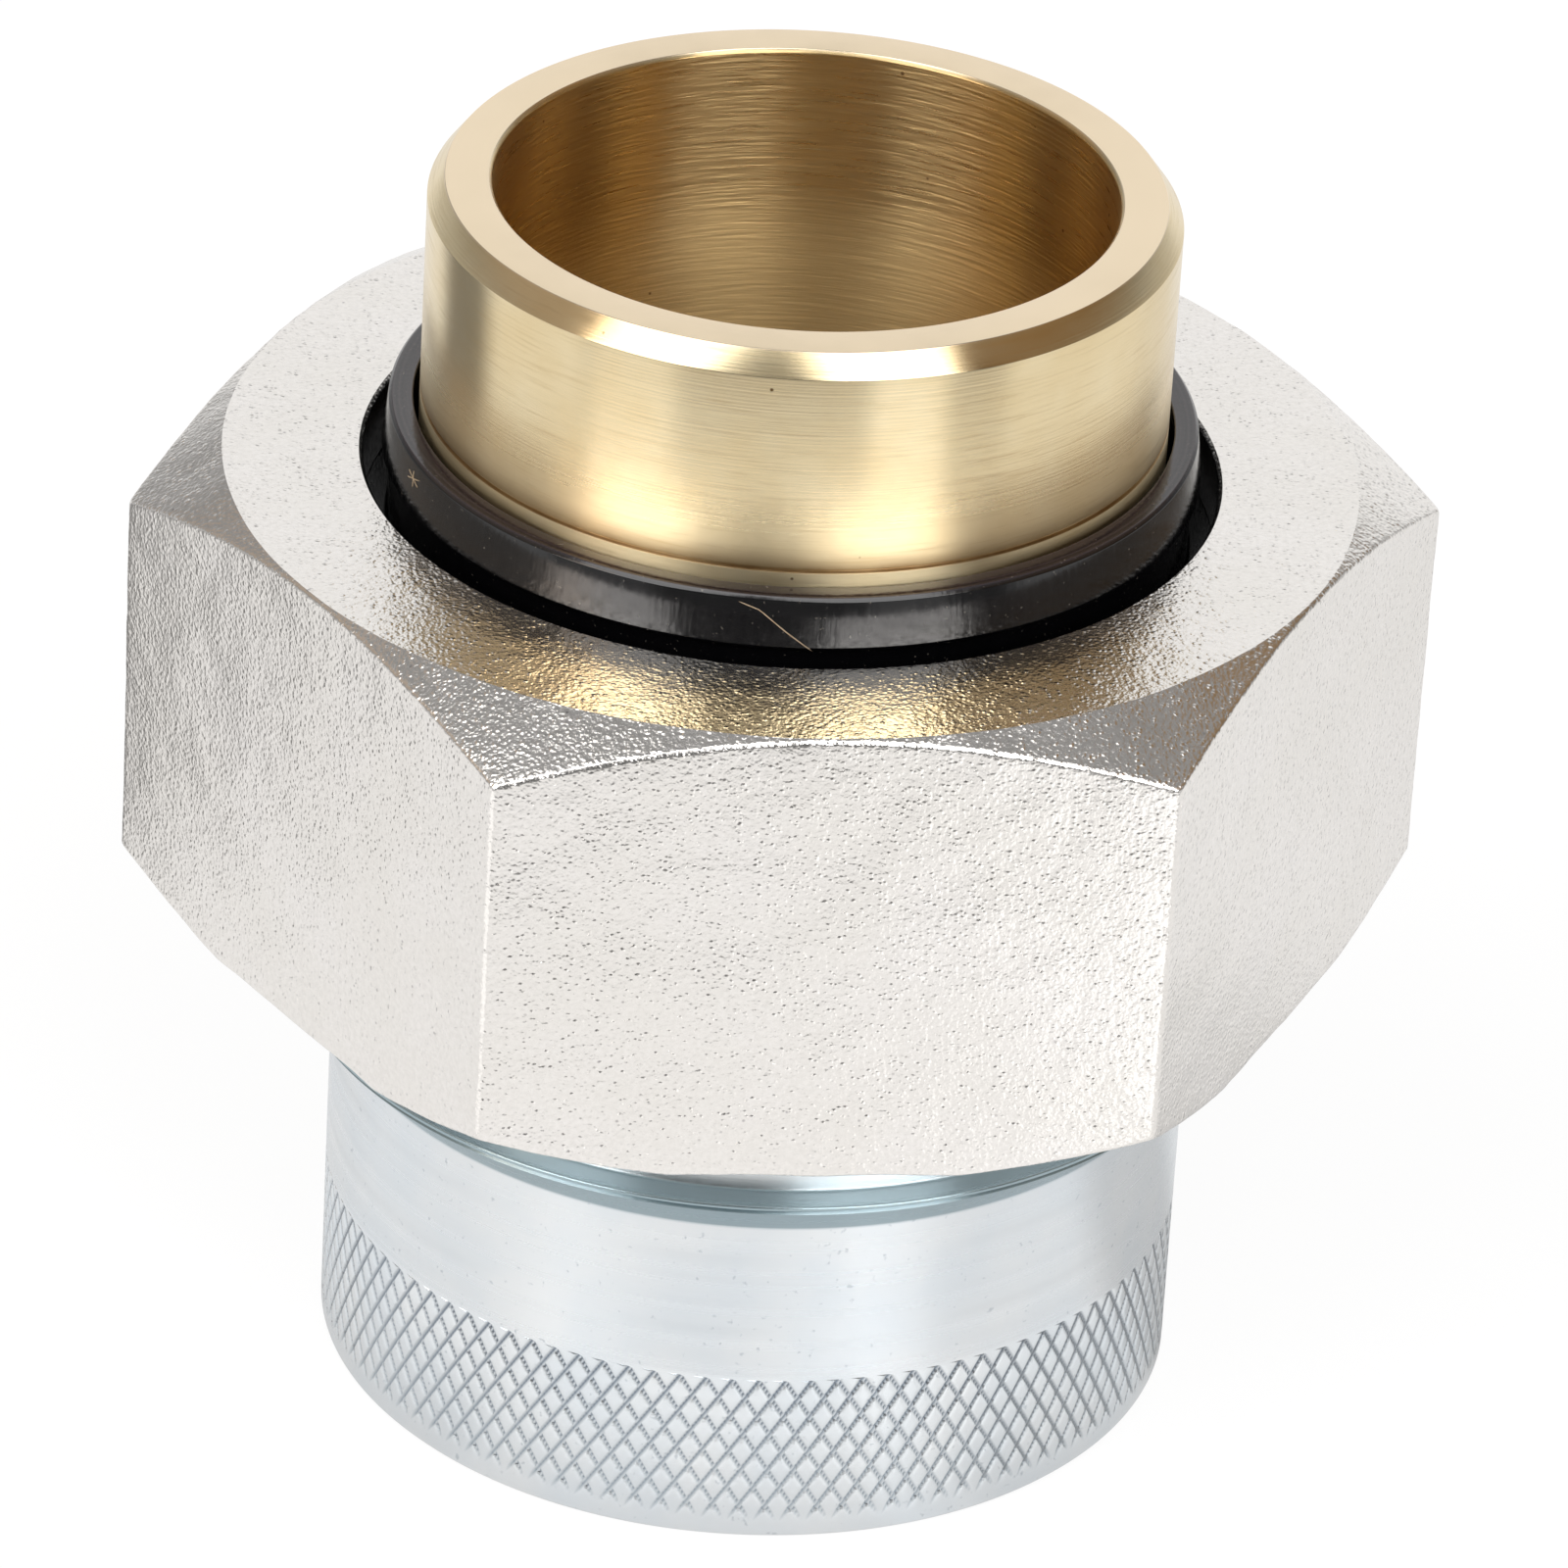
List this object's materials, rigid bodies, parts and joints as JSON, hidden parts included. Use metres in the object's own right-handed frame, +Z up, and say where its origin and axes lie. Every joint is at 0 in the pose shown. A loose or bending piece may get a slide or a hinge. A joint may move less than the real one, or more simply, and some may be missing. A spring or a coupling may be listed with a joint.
{
  "type": "dielectric union",
  "caption": "Pipe union that joins a threaded steel pipe to a soldered copper tube and keeps their metals apart, with a hexagon nut that draws the ends together.",
  "frame": {"origin": "centre of the steel body's foot, on the bore's axis, where the union stands", "axes": "+Z up along the bore from the threaded end to the solder end, +X through a corner of the hexagon nut"},
  "size_m": [0.0476, 0.0412, 0.047],
  "materials": {
    "zinc_body": "turned steel, bright zinc plate",
    "zinc_nut": "rough blank with fine grit, bright zinc plate",
    "black_plastic": "moulded, satin, lightly dusty",
    "turned_brass": "turned, dull",
    "black_rubber": "matt"
  },
  "bodies": {
    "base": {"body": "zinc_body", "gasket": "black_rubber"},
    "tail": {"tailpiece": "turned_brass", "insulator": "black_plastic"},
    "nut": {"nut": "zinc_nut"}
  },
  "joints": [
    {"name": "tail_lift", "type": "slide", "parent": "base", "child": "tail", "axis": [0, 0, 1], "range_m": [0, 0.00681]},
    {"name": "nut_turn", "type": "hinge", "parent": "tail", "child": "nut", "pos_m": [0, 0, 0.02], "axis": [0, 0, 1], "range_deg": [0, 1350]}
  ],
  "couplings": [
    {"joint": "tail_lift", "follows": "nut_turn", "m_per_rad": 0.00028871}
  ]
}
